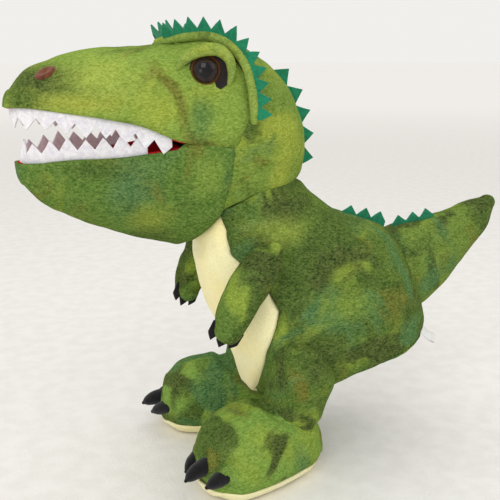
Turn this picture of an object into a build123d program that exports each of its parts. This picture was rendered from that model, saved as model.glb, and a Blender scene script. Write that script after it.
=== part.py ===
"""A plush dinosaur hand puppet with a moving mouth, in millimetres.

The puppet stands on its soles at Z = 0 and faces -X; its left side is at -Y.
A hand goes in through the cuff under the tail, up the sleeve and the neck:
the fingers fill the pocket above the palate and the thumb the pocket in the jaw.
"""
import os
from collections import namedtuple
from math import copysign, cos, pi, radians, sin

from build123d import *

# ---------------------------------------------------------------- driving dimensions
PLUSH = 2.6                 # short-pile plush with its backing
LINING = 1.2                # thin tricot of the sleeve and the finger pockets
FELT = 1.4                  # stiff felt of teeth, spines and claws
SEWN_GAP = 0.8              # room left between a skin and what it is stuffed with
FAR = 400.0                 # well past any side of the puppet

HINGE_X, HINGE_Z = -62.0, 251.0         # corner of the mouth, where the jaw turns
NECK_X, NECK_Z, NECK_TILT = -6.0, 202.0, 25.0   # centre of the neck seam, and its rise to the back
NECK_HEAD_GAP, NECK_BODY_GAP = 16.0, 14.5       # bare neck cloth above and below the seam
JAW_BACK_ANGLE = 101.0      # how far round the hinge the jaw's filling reaches

HIP_X, HIP_Y, HIP_Z, HIP_R = 25.0, 46.0, 84.0, 26.0
HIP_CLEARANCE, HIP_SWING = 0.9, 15.0
SHOULDER = Vector(-8.0, -46.0, 168.0)   # where the left arm is sewn to the side
SHOULDER_OUT = Vector(-0.30, -0.954, 0.0).normalized()
ARM_DIRECTION = Vector(-0.454, 0.143, -0.879).normalized()
ARM_OFFSET = 14.6           # centre of the arm from the side of the body
TAIL_X, TAIL_Z, TAIL_TILT, TAIL_R = 164.0, 151.0, 111.5, 35.0
FOOT_X, FOOT_Y, FOOT_SPLAY = -4.0, 47.0, 17.0
SOLE_RISE = 10.0            # height of the cream sole round the foot
EYE = Vector(-47.0, -44.0, 301.0)
EYE_OUT = Vector(-0.29, -0.957, 0.02).normalized()
EYE_R, EYE_DOME = 10.0, 7.0
CUFF_X, CUFF_Z, CUFF_TILT = 105.0, 86.2, 17.0       # middle of the hand opening, and the hem's rise
CUFF_R, CUFF_WALL, CUFF_HEIGHT = 39.5, 3.5, 9.0
LABEL_WIDTH, LABEL_HEIGHT, LABEL_ROUND = 14.0, 15.0, 36.0
MIDDLE_X = 24.5             # middle of the whole length, which becomes the origin

# One cross-section: centre, direction of its height in the XZ plane, reach both ways, half width
Section = namedtuple("Section", "x z angle up down half power")

LIP = [(-190, 278.5), (-140, 274.5), (-91, 266), (-64, 253.5)]
JAW_LIP = [(-190, 240), (-117, 243), (-76, 248), (-62, 250.5)]

FACE = [Section(x, z, 90, up, min(up, 13), half, power) for x, z, up, half, power in [
    (-171, 277, 9, 9, 2.1), (-163, 277, 18.5, 16.5, 2.1), (-142, 274.5, 33, 28, 2.2),
    (-112, 270, 45, 38, 2.4),
    (-76, 262, 55.5, 45, 3.0), (-44, 252, 71, 49, 3.6), (-8, 250, 69, 52, 3.8)]]
JAW = [Section(x, z, 90, min(down, 12), down, half, 2.2) for x, z, down, half in [
    (-166, 240, 9, 9), (-159, 241, 22, 15), (-138, 243, 39.5, 25), (-104, 244, 55, 35),
    (-68, 250, 71, 41),
    (-34, 251, 74, 43)]]
CROWN = [Section((front + back) / 2, z, 0, (back - front) / 2, (back - front) / 2, half, 2.3)
         for z, front, back, half in [
    (196, -54, 31, 46), (222, -60, 35, 48), (250, -68, 39.5, 51), (278, -72, 30, 52), (303, -72, 8, 47),
    (318, -68, -16, 36), (323.5, -58, -32, 24)]]
BODY = [Section(*row) for row in [
    (-6.2, 202.2, 25, 43.5, 43.5, 46, 2.3), (10, 178, 19.5, 57, 56, 48, 2.3),
    (38, 151, 17, 81, 77, 53, 2.3),
    (58, 115, 17, 84, 79, 61, 2.3), (71, 76, 17, 83, 79, 56, 2.3)]]
NECK = [Section(*row) for row in [
    (-7, 219, 25, 47.5, 47.5, 47.5, 2.2), (-6.2, 202.2, 25, 43.5, 43.5, 45, 2.2),
    (-2, 188.7, 25, 50.5, 50.5, 47, 2.2)]]
SLEEVE = [Section(x, z, angle, r, r, r, 2.0) for x, z, angle, r in [
    (119, 66, 27, 40), (89, 110, 38, 39), (41, 156, 42, 38), (-5.4, 202.9, 25, 37.5)]]
TAIL = [Section(*row) for row in [
    (124, 136, 111.5, 38, 37, 31, 2.0), (137, 141, 111, 37.5, 36.5, 29.5, 2.0),
    (160, 151, 110, 29, 29, 25, 2.0),
    (185, 166, 119, 20, 20, 18, 2.0), (208, 183, 125, 11, 11, 10.5, 2.0),
    (217, 190, 128, 4.5, 4.5, 4.5, 2.0)]]
FOOT = [Section(x, 23, 90, up, down, half, 2.3) for x, up, down, half in [
    (-57, 13, 11, 14), (-50, 25, 21, 25), (-26, 36.5, 27, 33), (8, 34, 27, 31.5), (34, 22, 22, 24),
    (44, 11, 11, 11)]]
LEG = [Section(x, z, -12, r, r, half, 2.1) for x, z, r, half in [
    (14, 34, 21.5, 22.5), (20, 62, 23.4, 23.8), (24.6, 82, 23.8, 24)]]
ARM = [(-16, 5), (-10, 13), (6, 15.4), (36, 14.6), (54, 11), (58, 5)]

# Seam between face and crown seen from the side, and the edge of the cream belly panel
BROW_SEAM = [(-60, 345), (-36, 320), (-20, 300), (-18, 270), (-26, 250), (-36, 180)]
BELLY_SEAM = [(-36, 215), (-28, 172), (-6, 152), (5, 130), (-2, 96), (-2, 30)]
# Middle of the left brow roll, which stands on the seam between face and crown
BROW_RIDGE = [Vector(*p) for p in [
    (-66, -11, 323.3), (-53, -24.5, 324.0), (-41, -34.5, 322.4), (-33, -40, 319.5), (-26.5, -45, 313.5),
    (-21, -50.3, 303.5), (-18.5, -54.3, 291), (-17.5, -56.6, 278), (-17.5, -56.8, 268)]]
BROW_ROLL_R = 3.4


# ---------------------------------------------------------------- shape helpers
def height_direction(angle):
    return Vector(cos(radians(angle)), 0, sin(radians(angle)))


def ring(s, inset=0.0, count=16):
    """Points round one section, a superellipse across Y."""
    up_dir, points = height_direction(s.angle), []
    for i in range(count):
        turn = 2 * pi * (i + 0.5) / count
        c, h = cos(turn), sin(turn)
        side = (s.half - inset) * copysign(abs(c) ** (2 / s.power), c)
        reach = (s.up if h > 0 else s.down) - inset
        height = reach * copysign(abs(h) ** (2 / s.power), h)
        points.append(Vector(s.x, side, s.z) + up_dir * height)
    return points


def plated(rings):
    """A closed solid of flat facets over rings of points."""
    def flat(*points):
        return Face(Wire.make_polygon(points, close=True))

    faces = [flat(*rings[0]), flat(*rings[-1])]
    for near, far in zip(rings, rings[1:]):
        for i in range(len(near)):
            j = (i + 1) % len(near)
            faces += [flat(near[i], near[j], far[j]), flat(near[i], far[j], far[i])]
    return Solid(Shell(faces))


def moved_towards(s, other, distance):
    across = height_direction(s.angle + 90)
    ahead = (other.x - s.x) * across.X + (other.z - s.z) * across.Z
    step = across * (distance * copysign(1, ahead))
    return s._replace(x=s.x + step.X, z=s.z + step.Z)


def eased(sections):
    """The sections with one more between each two, on a smooth curve through them all."""
    made = []
    for i, (b, c) in enumerate(zip(sections, sections[1:])):
        a, d = sections[max(i - 1, 0)], sections[min(i + 2, len(sections) - 1)]
        made += [b, Section(*[(9 * (q + r) - p - t) / 16 for p, q, r, t in zip(a, b, c, d)])]
    return [*made, sections[-1]]


def form(sections, inset=0.0, closed_start=True, closed_end=True):
    """A solid through the sections. An inset also draws in the ends that are closed."""
    made = eased(sections)
    if inset and closed_start:
        made[0] = moved_towards(made[0], made[1], inset)
    if inset and closed_end:
        made[-1] = moved_towards(made[-1], made[-2], inset)
    return plated([ring(s, inset) for s in made])


def tube(points, radii, flat=1.0, flat_dir=None, count=10):
    """A closed tapering tube along points. Its ovals are flattened along flat_dir."""
    rings = []
    for i, (p, r) in enumerate(zip(points, radii)):
        tangent = points[min(i + 1, len(points) - 1)] - points[max(i - 1, 0)]
        plane = Plane(origin=p, x_dir=flat_dir or Vector(0, 1, 0.01).cross(tangent), z_dir=tangent)
        turns = [2 * pi * k / count for k in range(count)]
        rings.append([p + plane.x_dir * (r * flat * cos(t)) + plane.y_dir * (r * sin(t)) for t in turns])
    return plated(rings)


def slab(outline, low=-FAR, high=FAR):
    """A slab across Y whose outline is a polygon in XZ."""
    wire = Wire.make_polygon([Vector(x, low, z) for x, z in outline], close=True)
    return Solid.extrude(Face(wire), Vector(0, high - low, 0))


def disc(centre, axis, radius, low, high):
    """A round bar along axis, from low to high measured from centre."""
    axis = axis.normalized()
    return Solid.make_cylinder(radius, high - low, Plane(origin=centre + axis * low, z_dir=axis))


def beyond(point, normal):
    """Everything on the side of a plane that its normal points to."""
    plane = Plane(origin=point, z_dir=normal)
    corner = plane.origin - plane.x_dir * FAR - plane.y_dir * FAR
    return Solid.make_box(2 * FAR, 2 * FAR, FAR, Plane(origin=corner, x_dir=plane.x_dir,
        z_dir=plane.z_dir))


def solids_of(shape):
    """The solids of a boolean's result, without crumbs."""
    largest = max(s.volume for s in shape.solids())
    kept = [s for s in shape.solids() if s.volume > 0.02 * largest]
    return kept[0] if len(kept) == 1 else Compound(kept)


def mirrored(shape):
    return shape.mirror(Plane.XZ)


def blade(foot, along, out, width, base, height):
    """One felt tooth or spine: a strip of the given base with a triangle on it."""
    along, out = along.normalized(), out.normalized()
    half = along * (width / 2 + 0.3)
    corners = [foot - half, foot + half, foot + half + out * base, foot + out * height,
        foot - half + out * base]
    face = Face(Wire.make_polygon(corners, close=True))
    normal = along.cross(out).normalized()
    return Solid.extrude(face.moved(Location(normal * (-FELT / 2))), normal * FELT)


def fused(shapes):
    whole = shapes[0].fuse(*shapes[1:]) if len(shapes) > 1 else shapes[0]
    return solids_of(whole)


def walk(points, pitch, start=0.0):
    """Places along a polyline, a pitch apart: (point, direction)."""
    places, distance, target = [], 0.0, start + pitch / 2
    for a, b in zip(points, points[1:]):
        span = (b - a).length
        while target <= distance + span:
            places.append((a + (b - a) * ((target - distance) / span), (b - a).normalized()))
            target += pitch
        distance += span
    return places


# ---------------------------------------------------------------- shared volumes
LEFT, RIGHT = (beyond(Vector(0, 0, 0), Vector(0, s, 0)) for s in (-1, 1))
ABOVE_LIP = slab([*LIP, (60, 253.5), (60, FAR), (-190, FAR)])
BELOW_JAW_LIP = slab([*JAW_LIP, (-34, 250.5), (-34, 100), (-190, 100)])
FRONT_OF_BROW = slab([*BROW_SEAM, (-250, 180), (-250, 345)])
FRONT_OF_BELLY = slab([*BELLY_SEAM, (-150, 30), (-150, 215)])
NECK_POINT, NECK_UP = Vector(NECK_X, 0, NECK_Z), height_direction(NECK_TILT + 90)
ABOVE_NECK = beyond(NECK_POINT + NECK_UP * NECK_HEAD_GAP, NECK_UP)
BELOW_NECK = beyond(NECK_POINT - NECK_UP * NECK_BODY_GAP, -NECK_UP)


def limb_bays():
    """Room in the body for the tops of the legs, over their whole swing, and for the arms."""
    wide, drop, start = HIP_R + HIP_CLEARANCE, 60, 6
    spread = drop * sin(radians(HIP_SWING + 8))
    neck = wide * cos(start / wide) - 0.4
    fork = [(HIP_X - neck, HIP_Z - start), (HIP_X + neck, HIP_Z - start),
            (HIP_X + wide + spread, HIP_Z - drop), (HIP_X - wide - spread, HIP_Z - drop)]
    inner = HIP_Y - HIP_R - HIP_CLEARANCE
    left = fused([disc(Vector(HIP_X, -inner, HIP_Z), Vector(0, -1, 0), wide, 0, 80),
        slab(fork, -inner - 80, -inner)])
    arm = beyond(SHOULDER + SHOULDER_OUT * 0.3, SHOULDER_OUT)
    return [left, mirrored(left), arm, mirrored(arm)]


def tail_bay():
    return disc(Vector(TAIL_X, 0, TAIL_Z), height_direction(TAIL_TILT), TAIL_R + 0.7, -60, 60)


# ---------------------------------------------------------------- head
def head_pieces():
    face, lining = form(FACE) & ABOVE_LIP & FRONT_OF_BROW, form(FACE, PLUSH)
    crown = (form(CROWN) & ABOVE_NECK) - FRONT_OF_BROW.moved(Location((0.3, 0, 0)))
    shank = disc(EYE, EYE_OUT, 2.8, -14, 4)
    skin = (face & LEFT) - lining - shank
    back = (crown & LEFT) - form(CROWN, PLUSH)
    palate = (lining & ABOVE_LIP & FRONT_OF_BROW) - ABOVE_LIP.moved(Location((0, 0, LINING)))
    pocket = [Section(x, z, 90, h, h, w, 2.4) for x, z, h, w in [
        (-138, 285, 7, 22), (-110, 285, 12.5, 34), (-76, 284, 14, 37), (-14, 280, 18, 41)]]
    sleeve = form(pocket) - form(pocket, LINING, closed_end=False)
    fill = form(FACE, PLUSH + SEWN_GAP) & ABOVE_LIP.moved(Location((0, 0, LINING + SEWN_GAP)))
    fill = (fill & FRONT_OF_BROW.moved(Location((-1, 0, 0)))) - form(pocket, -SEWN_GAP)
    recess = disc(EYE, EYE_OUT, 9.6, -16, 4)
    fill = fill - recess - mirrored(recess)
    made = {"left_face_panel": skin, "right_face_panel": mirrored(skin), "left_crown_panel": back,
            "right_crown_panel": mirrored(back), "upper_palate": palate, "finger_pocket": sleeve,
            "head_filling": fill}
    made.update(eye_pieces(form(FACE)))
    made.update(crest_pieces(form(CROWN)))
    return made


def eye_pieces(face):
    """Safety eyes with their washers, felt patches, lids and nostrils."""
    base = EYE + EYE_OUT * 1.5
    radius = (EYE_R ** 2 + EYE_DOME ** 2) / (2 * EYE_DOME)
    ball = Solid.make_sphere(radius, Plane(origin=base - EYE_OUT * (radius - EYE_DOME)))
    dome = (ball & disc(base, EYE_OUT, EYE_R, -1, EYE_DOME + 1)) - form(FACE, -0.1)
    eye = fused([dome, disc(EYE, EYE_OUT, 2.5, -14, 2.5)])
    washer = disc(EYE, EYE_OUT, 8.0, -11.5, -9.5) - disc(EYE, EYE_OUT, 2.5, -12, -9)
    patch = disc(EYE + Vector(2.5, 0, 0.5), EYE_OUT, 12.5, -6, 1.4) - face - disc(EYE, EYE_OUT,
        EYE_R + 0.2, -14, 8)
    side = EYE_OUT.cross(Vector(0, 0, 1)).normalized()
    rise = side.cross(EYE_OUT)
    lid_path = [base + EYE_OUT * 1.5 + side * (14.2 * cos(radians(a))) + rise * (13.6 * sin(radians(a)))
                for a in (-20, 20, 60, 100, 140, 172)]
    lid = tube(lid_path, [2.4, 3.6, 3.9, 3.9, 3.6, 2.2]) - face - patch - disc(base, EYE_OUT,
        EYE_R + 0.3, -5, 20)
    nostril = disc(Vector(-147, -16, 301), Vector(-0.35, -0.6, 0.72), 5.6, -6, 4)
    nostril = (nostril & form(FACE, -1.3)) - face
    made = {"eye_washers": Compound(children=[washer, mirrored(washer)])}
    for name, piece in [("eye", eye), ("eye_patch", patch), ("eyelid", lid), ("nostril", nostril)]:
        made["left_" + name] = solids_of(piece)
        made["right_" + name] = mirrored(made["left_" + name])
    return made


def crest_pieces(crown):
    """Brow rolls over the eyes and the felt spines of the head and the neck."""
    roll = tube(BROW_RIDGE, [2.4, *[BROW_ROLL_R] * (len(BROW_RIDGE) - 2), 2.4])
    centre, blades = Vector(-45, 0, 288), []
    for foot, along in walk(BROW_RIDGE, 9.6):
        out = foot - centre
        out = Vector(out.X, out.Y * 0.5, out.Z)
        out = (out - along * out.dot(along)).normalized()
        blades.append(blade(foot + out * (BROW_ROLL_R + 0.5), along, out, 9.6, 1.5, 8.5))
    spines = fused(blades)
    back = [Vector(s.x + s.up, 0, s.z) for s in CROWN[1:-2]]
    neck = [blade(foot - outward(along) * 2, along, outward(along), 20.0, 5.0, 15.0)
            for foot, along in walk(back, 20.0, 9.0)]
    return {"left_brow_roll": roll, "right_brow_roll": mirrored(roll), "left_brow_spines": spines,
            "right_brow_spines": mirrored(spines), "neck_spines": solids_of(fused(neck) - crown)}


def outward(along):
    """The direction at right angles to a climbing edge in XZ, to the back of the puppet."""
    return Vector(along.Z, 0, -along.X)


def teeth(lip_sections, lip_curve_side, inset, pitch, base, height, downwards, first, last):
    """A felt strip of pointed teeth along the left edge of the mouth, from the corner to the front."""
    line = [Vector(s.x, -(s.half - inset), 0) for s in lip_sections[first:last]][::-1]
    line.append(Vector(lip_sections[first].x - 1.5, 0, 0))
    out, blades = Vector(0, 0, -1 if downwards else 1), []
    for foot, along in walk(line, pitch, 1.0):
        z = lip_height(lip_curve_side, foot.X)
        blades.append(blade(Vector(foot.X, foot.Y, z) - out * 4, along, out, pitch, base + 4, height + 4))
    return fused(blades)


def lip_height(curve, x):
    for (x0, z0), (x1, z1) in zip(curve, curve[1:]):
        if x0 <= x <= x1:
            return z0 + (z1 - z0) * (x - x0) / (x1 - x0)
    return curve[-1][1]


def upper_teeth():
    strip = teeth(FACE, LIP, 2.6, 13.5, 6.0, 13.5, True, 1, 8)
    strip = (strip - ABOVE_LIP.moved(Location((0, 0, -0.05)))) & LEFT & beyond(Vector(-70, 0, 0),
        Vector(-1, 0, 0))
    return solids_of(strip)


# ---------------------------------------------------------------- jaw
def jaw_pieces():
    hinge = Vector(HINGE_X, 0, HINGE_Z)
    behind = beyond(hinge, Vector(sin(radians(JAW_BACK_ANGLE)), 0, cos(radians(JAW_BACK_ANGLE))))
    keep = BELOW_JAW_LIP - behind
    outer, made = form(JAW), {}
    skin = (outer & keep & LEFT) - form(JAW, PLUSH)
    made["left_jaw_panel"], made["right_jaw_panel"] = skin, mirrored(skin)
    lower = BELOW_JAW_LIP.moved(Location((0, 0, -LINING)))
    made["lower_palate"] = (form(JAW, PLUSH) & keep) - lower
    pocket = [Section(x, z, 90, h, h, w, 2.4) for x, z, h, w in [
        (-132, 222, 5, 9), (-125, 222, 9, 14), (-105, 221, 12, 18), (-80, 220, 14, 21),
        (-52, 219, 15, 23)]]
    long_pocket = [*pocket[:-1], pocket[-1]._replace(x=-30)]
    made["thumb_pocket"] = ((form(long_pocket) - form(long_pocket, LINING)) & keep)
    fill = form(JAW, PLUSH + SEWN_GAP) & keep & lower.moved(Location((0, 0, -SEWN_GAP)))
    made["jaw_filling"] = fill - form(long_pocket, -SEWN_GAP)
    strip = teeth(JAW, JAW_LIP, 1.8, 12.5, 7.5, 13.0, False, 1, 8)
    strip = (strip - BELOW_JAW_LIP.moved(Location((0, 0, 0.05)))) & LEFT & beyond(Vector(-88, 0, 0),
        Vector(-1, 0, 0))
    made["lower_left_teeth"] = solids_of(strip)
    made["lower_right_teeth"] = mirrored(made["lower_left_teeth"])
    return made


# ---------------------------------------------------------------- neck and body
def neck_skin():
    """The bare band of neck cloth that lets the head turn on the body."""
    return form(NECK) - form(NECK, PLUSH, closed_start=False, closed_end=False)


def body_pieces():
    bays = [*limb_bays(), tail_bay()]
    hem_up = height_direction(CUFF_TILT + 90)
    cuff_middle = Vector(CUFF_X, 0, CUFF_Z)
    tunnel = form(SLEEVE, -SEWN_GAP, closed_start=False, closed_end=False)
    skin = (form(BODY) & BELOW_NECK) - form(BODY, PLUSH, closed_start=False) - tunnel
    fill = (form(BODY, PLUSH + SEWN_GAP, closed_start=False) & BELOW_NECK) - tunnel
    for bay in bays:
        skin, fill = skin - bay, fill - bay
    made = {"torso_filling": solids_of(fill), "belly_panel": solids_of(skin & FRONT_OF_BELLY)}
    side = skin - FRONT_OF_BELLY.moved(Location((0.1, 0, 0)))
    made["left_body_panel"], made["right_body_panel"] = solids_of(side & LEFT), solids_of(side & RIGHT)
    sleeve = form(SLEEVE) - form(SLEEVE, LINING, closed_start=False, closed_end=False)
    made["hand_sleeve"] = (sleeve & BELOW_NECK) - beyond(cuff_middle, -hem_up)
    rim = (-0.5 - CUFF_HEIGHT, -0.5)
    cuff = disc(cuff_middle, hem_up, CUFF_R + CUFF_WALL, *rim) - disc(cuff_middle, hem_up, CUFF_R,
        rim[0] - 1, 0)
    made["cuff"] = cuff
    turn = radians(LABEL_ROUND)
    outward_label = height_direction(CUFF_TILT) * cos(turn) - Vector(0, sin(turn), 0)
    corner = cuff_middle + outward_label * (CUFF_R + CUFF_WALL + 0.4) - hem_up * (LABEL_HEIGHT + 0.6)
    sideways = hem_up.cross(outward_label)
    plane = Plane(origin=corner - sideways * (LABEL_WIDTH / 2), x_dir=outward_label, z_dir=hem_up)
    made["care_label"] = Solid.make_box(0.8, LABEL_WIDTH, LABEL_HEIGHT, plane)
    back = [Vector(76, 0, 189), Vector(116, 0, 178)]
    fins = [blade(foot - outward(along) * 5, along, outward(along) * -1, 12.5, 5.0, 14.0)
            for foot, along in walk(back, 12.5)]
    made["back_spines"] = solids_of(fused(fins) - form(BODY))
    return made


# ---------------------------------------------------------------- tail, arms, legs
def tail_pieces():
    axis = height_direction(TAIL_TILT)
    ahead = beyond(Vector(TAIL_X, 0, TAIL_Z), Vector(-axis.Z, 0, axis.X))

    def cone(inset):
        return form(TAIL, inset, closed_start=False) - (ahead - disc(Vector(TAIL_X, 0, TAIL_Z), axis,
            TAIL_R - inset, -90, 90))

    outer, inner, fill = cone(0), cone(PLUSH), cone(PLUSH + SEWN_GAP)
    top = [Vector(s.x, 0, s.z) + height_direction(s.angle) * s.up for s in TAIL[:4]]
    spines = fused([blade(foot - Vector(0, 0, 1), along, Vector(-along.Z, 0, along.X), 13.5, 3.0, 11.0)
                    for foot, along in walk(top, 13.5, 18.0)[:3]])
    return {"tail_skin": outer - inner, "tail_filling": fill, "tail_spines": solids_of(spines - outer)}


def arm_pieces():
    shoulder = SHOULDER + SHOULDER_OUT * ARM_OFFSET
    points = [shoulder + ARM_DIRECTION * s for s, _ in ARM]
    flat = 0.9
    outer = tube(points, [r for _, r in ARM], flat, SHOULDER_OUT)
    inner = tube(points[1:-1], [r - PLUSH for _, r in ARM[1:-1]], flat, SHOULDER_OUT)
    fill = tube(points[1:-1], [r - PLUSH - SEWN_GAP for _, r in ARM[1:-1]], flat, SHOULDER_OUT)
    across = ARM_DIRECTION.cross(SHOULDER_OUT).normalized()
    claws = fused([blade(shoulder + ARM_DIRECTION * (52 - 0.035 * (s * s)) + across * s,
        across, ARM_DIRECTION, 8.6, 8, 14.5)
                   for s in (-8.6, 0, 8.6)])
    claws = claws - outer
    return {"arm_skin": outer - inner, "arm_filling": fill, "hand_claws": solids_of(claws)}


def leg_pieces():
    def placed(shape):
        turn = Location((FOOT_X, -FOOT_Y, 0)) * Location((0, 0, 0), (0, 0, FOOT_SPLAY))
        return shape.moved(turn)

    def column(inset):
        low = form(LEG, inset, closed_start=False, closed_end=False)
        low = low.moved(Location((0, -HIP_Y, 0)))
        top = Solid.make_sphere(HIP_R - inset, Plane(origin=Vector(HIP_X, -HIP_Y, HIP_Z)))
        return fused([low, top])

    def above(height):
        return beyond(Vector(0, 0, height), Vector(0, 0, 1))

    small = PLUSH + SEWN_GAP
    ankle = column(small - 0.1)
    foot = placed(form(FOOT)) & above(0)
    shell = foot - (placed(form(FOOT, PLUSH)) & above(PLUSH)) - ankle
    skin = column(0) - foot - column(PLUSH)
    fill = fused([column(small), placed(form(FOOT, small)) & above(small)])
    claws = []
    for spot, aim in [(-19, 16), (0, 0), (19, -16)]:
        start = Vector(-52 + abs(spot) * 0.42, spot, 26 - abs(spot) * 0.1)
        out = Vector(-cos(radians(aim)), sin(radians(aim)), -0.16)
        points = [start + out * s for s in (-4, 2, 8, 14, 18.5, 20.5)]
        claws.append(placed(tube(points, [6.4, 6.9, 6.8, 5.6, 3.4, 1.4])) - foot)
    return {"leg_skin": solids_of(skin), "foot_skin": solids_of(shell & above(SOLE_RISE)),
            "foot_sole": solids_of(shell - above(SOLE_RISE)),
            "leg_filling": solids_of(fill),
            "toe_claws": Compound(children=[s for c in claws for s in c.solids()])}


# ---------------------------------------------------------------- assembly
def both_sides(pieces):
    return {side + "_" + name: turn(shape) for name, shape in pieces.items()
            for side, turn in (("left", lambda s: s), ("right", mirrored))}


def main():
    pieces = {**head_pieces(), **jaw_pieces(), "neck_skin": neck_skin(), **body_pieces(), **tail_pieces()}
    pieces["upper_left_teeth"] = upper_teeth()
    pieces["upper_right_teeth"] = mirrored(pieces["upper_left_teeth"])
    pieces.update(both_sides({**arm_pieces(), **leg_pieces()}))
    for name, shape in pieces.items():
        placed = [s.moved(Location((-MIDDLE_X, 0, 0))) for s in solids_of(shape).solids()]
        export_step(placed[0] if len(placed) == 1 else Compound(placed), f"parts/{name}.step")
        print(name, len(placed), round(sum(s.volume for s in placed)))


os.makedirs("parts", exist_ok=True)
main()
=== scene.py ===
"""Looks of the plush dinosaur hand puppet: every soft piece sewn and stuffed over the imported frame.

Shapes are written in the model's millimetres, with the puppet facing -X and its left side at -Y.
"""

import bmesh
import bpy
import numpy as np
from mathutils import Matrix, Vector


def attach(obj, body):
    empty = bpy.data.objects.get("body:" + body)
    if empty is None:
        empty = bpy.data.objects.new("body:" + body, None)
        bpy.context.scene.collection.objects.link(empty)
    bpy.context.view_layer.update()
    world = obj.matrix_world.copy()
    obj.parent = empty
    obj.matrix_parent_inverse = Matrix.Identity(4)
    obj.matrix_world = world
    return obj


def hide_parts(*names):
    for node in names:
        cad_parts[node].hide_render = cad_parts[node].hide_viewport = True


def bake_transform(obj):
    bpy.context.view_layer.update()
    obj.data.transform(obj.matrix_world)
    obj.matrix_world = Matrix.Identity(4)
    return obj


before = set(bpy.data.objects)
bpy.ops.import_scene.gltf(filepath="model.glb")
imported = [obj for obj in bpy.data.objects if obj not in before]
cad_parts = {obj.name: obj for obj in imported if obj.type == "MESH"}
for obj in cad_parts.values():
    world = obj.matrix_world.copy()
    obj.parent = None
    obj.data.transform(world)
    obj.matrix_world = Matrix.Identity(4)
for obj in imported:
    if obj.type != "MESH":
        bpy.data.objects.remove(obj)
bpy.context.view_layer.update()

MIDDLE_X = 24.5             # middle of the whole length, which is the frame's origin
CLOTH = 2.0                 # plush with its backing
SEAM_WIDTH = 1.7
TIP_BULGE = 4.5             # how far the tips of the muzzle and the jaw stand out
PILE_STRETCH, PILE_CONTRAST, PILE_DEPTH = 2.4, 0.62, 0.0016
TABLE_ROWS, PATH_ROWS, DOME_ROWS, WAVE_COUNT = 400, 50, 7, 14
NECK_TILT, CUFF_TILT = np.radians(25), np.radians(17)
NECK_SEAM = np.array([-6.2, 0, 202.2])
OPENING = np.array([105, 0, 86.2])      # middle of the hand opening
NECK_UP = np.array([-np.sin(NECK_TILT), 0, np.cos(NECK_TILT)])
CUFF_UP = np.array([-np.sin(CUFF_TILT), 0, np.cos(CUFF_TILT)])
CUFF_BACK = np.array([np.cos(CUFF_TILT), 0, np.sin(CUFF_TILT)])
SIDEWAYS = np.array([0, 1, 0])
SIDES = ("left", "right")

# x, z of the edge between face and crown by height, and of the edge of the cream belly panel
BROW_Z, BROW_X = [246, 250, 270, 300, 320, 345], [-27, -26, -18, -20, -36, -60]
JAW_BACK_Z, JAW_BACK_X = [176, 180, 190, 203, 225, 250], [-54, -50, -42, -34, -31, -26]
BELLY_Z, BELLY_X = [30, 96, 130, 152, 172, 215, 240], [-2, -2, 5, -6, -28, -36, -38]


# ---------------------------------------------------------------- numbers to shapes
def metres(points):
    return (np.asarray(points, float) - (MIDDLE_X, 0, 0)) / 1000


def unit(vector):
    return vector / np.linalg.norm(vector)


def lengths_along(line):
    """Distance along a polyline at each of its points."""
    return np.concatenate([[0], np.cumsum(np.linalg.norm(np.diff(line, axis=0), axis=1))])


def quarter_turn(steps):
    return [np.pi / 2 * k / steps for k in range(1, steps + 1)]


def smooth(rows, count, across=2):
    """The rows of numbers, resampled on a smooth curve through them; spacing by the first columns."""
    rows = np.asarray(rows, float)
    knots = lengths_along(rows[:, :across])
    slopes = np.gradient(rows, knots, axis=0)
    at = np.linspace(0, knots[-1], count)
    i = np.clip(np.searchsorted(knots, at, side="right") - 1, 0, len(knots) - 2)
    h = (knots[i + 1] - knots[i])[:, None]
    t = (at - knots[i])[:, None] / h
    ends = (2 * t ** 3 - 3 * t ** 2 + 1) * rows[i] + (3 * t ** 2 - 2 * t ** 3) * rows[i + 1]
    return ends + h * ((t ** 3 - 2 * t ** 2 + t) * slopes[i] + (t ** 3 - t ** 2) * slopes[i + 1])


def power_of(value, power):
    return np.sign(value) * np.abs(value) ** (2 / power)


def loop_points(sections, turns):
    """Points round sections (x, z, angle, up, down, half, power), one row of turns for each."""
    x, z, angle, up, down, half, power = (c[:, None] for c in np.asarray(sections, float).T)
    angle = np.radians(angle)
    rise = power_of(np.sin(turns), power)
    reach = np.where(rise > 0, up, down) * rise
    side = half * power_of(np.cos(turns), power)
    return np.stack([x + np.cos(angle) * reach, side + 0 * x, z + np.sin(angle) * reach], axis=-1)


def full_turns(count):
    return np.linspace(0, 2 * np.pi, count, endpoint=False)[None, :] + 0.01


def rounded(grid, bulge, centre=None, start=False):
    """The grid with a domed end."""
    grid = grid[::-1] if start else grid
    last = grid[-1]
    middle = last.mean(axis=0) if centre is None else np.asarray(centre, float)
    if centre is None:
        way = middle - grid[-2].mean(axis=0)
    else:
        way = np.array([middle[0] - grid[-4].mean(axis=0)[0], 0, 0])
    rows = [middle + (last - middle) * np.cos(phi) + unit(way) * bulge * np.sin(phi)
            for phi in quarter_turn(DOME_ROWS)]
    made = np.concatenate([grid, np.array(rows)])
    return made[::-1] if start else made


def waves(points, size, seed):
    """Smooth noise from -1 to 1 with features about size across."""
    rng = np.random.default_rng(seed)
    total = np.zeros(len(points))
    for _ in range(WAVE_COUNT):
        way = rng.normal(size=3)
        way *= rng.uniform(0.6, 1.5) * 2 * np.pi / (size * 2.2) / np.linalg.norm(way)
        total += np.sin(points @ way + rng.uniform(0, 6.28))
    return total / WAVE_COUNT ** 0.5 / 1.4


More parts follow.
